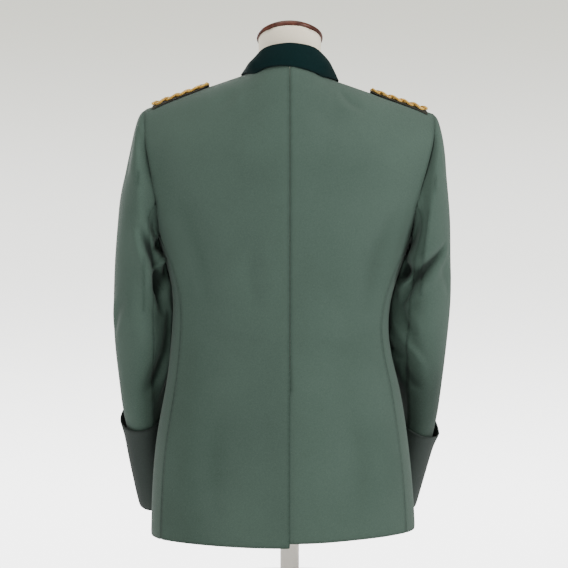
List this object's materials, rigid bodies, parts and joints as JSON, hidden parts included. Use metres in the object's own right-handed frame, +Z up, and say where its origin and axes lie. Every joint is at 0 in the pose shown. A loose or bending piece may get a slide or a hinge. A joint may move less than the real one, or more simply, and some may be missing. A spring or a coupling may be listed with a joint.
{
  "type": "field tunic on limbless dress form",
  "caption": "Fitted wool field tunic with fall collar, corded shoulder boards, turn-back cuffs and a back vent, standing on a limbless dress form with a capped neck.",
  "frame": {"origin": "centre of the underside of the stand's round base", "axes": "+Z up, +Y towards the back of the tunic, +X towards the wearer's left"},
  "size_m": [0.5465, 0.3753, 0.9412],
  "materials": {
    "cloth": "matt woven wool",
    "collar_cloth": "matt fine wool",
    "gold_cord": "gold yellow plaited cord with a soft sheen",
    "button_metal": "satin grey",
    "jersey": "matt ivory jersey",
    "cap_wood": "satin red-brown varnish",
    "stand_wood": "satin dark brown varnish",
    "pole_paint": "satin off-white paint"
  },
  "bodies": {
    "root": {"back_left": "cloth", "back_right": "cloth", "board_button_left": "button_metal", "board_button_right": "button_metal", "board_left": "gold_cord", "board_right": "gold_cord", "collar": "collar_cloth", "cuff_left": "cloth", "cuff_right": "cloth", "form_base": "stand_wood", "form_pole": "pole_paint", "form_torso": "jersey", "front_button_1": "button_metal", "front_button_2": "button_metal", "front_button_3": "button_metal", "front_button_4": "button_metal", "front_button_5": "button_metal", "front_button_6": "button_metal", "front_left": "cloth", "front_right": "cloth", "neck_cap": "cap_wood", "side_left": "cloth", "side_right": "cloth", "top_sleeve_left": "cloth", "top_sleeve_right": "cloth", "under_sleeve_left": "cloth", "under_sleeve_right": "cloth"}
  },
  "joints": []
}
